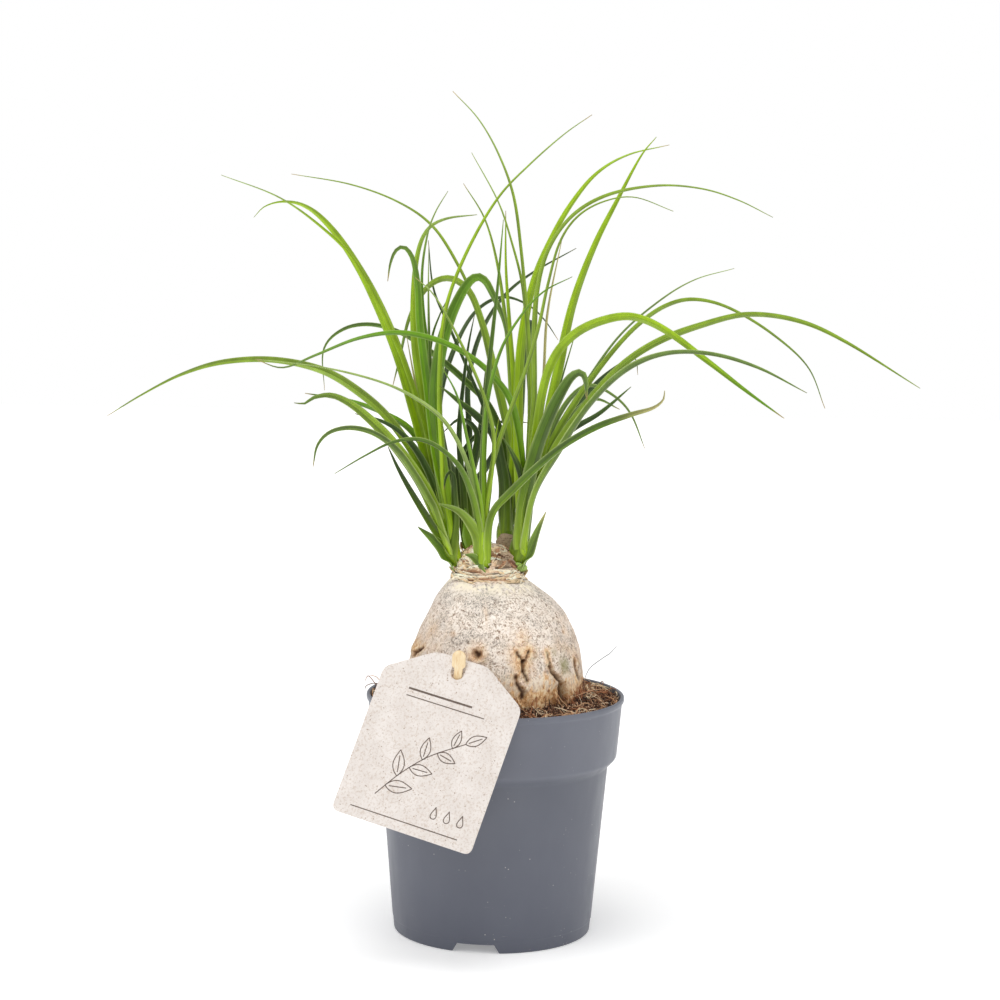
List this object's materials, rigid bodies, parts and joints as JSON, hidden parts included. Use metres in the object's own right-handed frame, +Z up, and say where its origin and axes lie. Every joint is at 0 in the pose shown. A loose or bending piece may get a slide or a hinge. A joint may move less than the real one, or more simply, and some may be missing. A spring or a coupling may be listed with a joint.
{
  "type": "potted ponytail palm",
  "caption": "Young ponytail palm: a swollen woody base with strappy arching leaves, in a round plastic nursery pot with a paper label on a wooden stake.",
  "frame": {"origin": "on the floor, under the middle of the object's box, which is the middle of the pot's foot", "axes": "+Z up along the plant, -Y the front with the label, +X the plant's right as the front is seen"},
  "size_m": [0.3744, 0.2386, 0.3891],
  "materials": {
    "pot_plastic": "satin grey moulded polypropylene, a little dusty and scuffed",
    "soil": "damp dark peat with orange-brown coir fibres",
    "bark": "dry grey-beige bark, finely cracked and speckled, ochre at the toes",
    "leaf_bright": "semi-gloss yellow-green leaf with fine parallel veins",
    "leaf_grey_green": "satin grey-green leaf with pale margins",
    "leaf_dark": "satin dark green leaf with pale margins",
    "card": "uncoated recycled card with fine flecks and thin brown line printing",
    "stake_wood": "raw light wood with fine grain"
  },
  "bodies": {
    "root": {"pot": "pot_plastic", "soil": "soil", "caudex": "bark", "shoot_left": "leaf_bright", "shoot_front": "leaf_grey_green", "shoot_right": "leaf_bright", "shoot_back_left": "leaf_dark", "shoot_back_right": "leaf_dark", "label_card": "card", "label_stake": "stake_wood"}
  },
  "joints": []
}
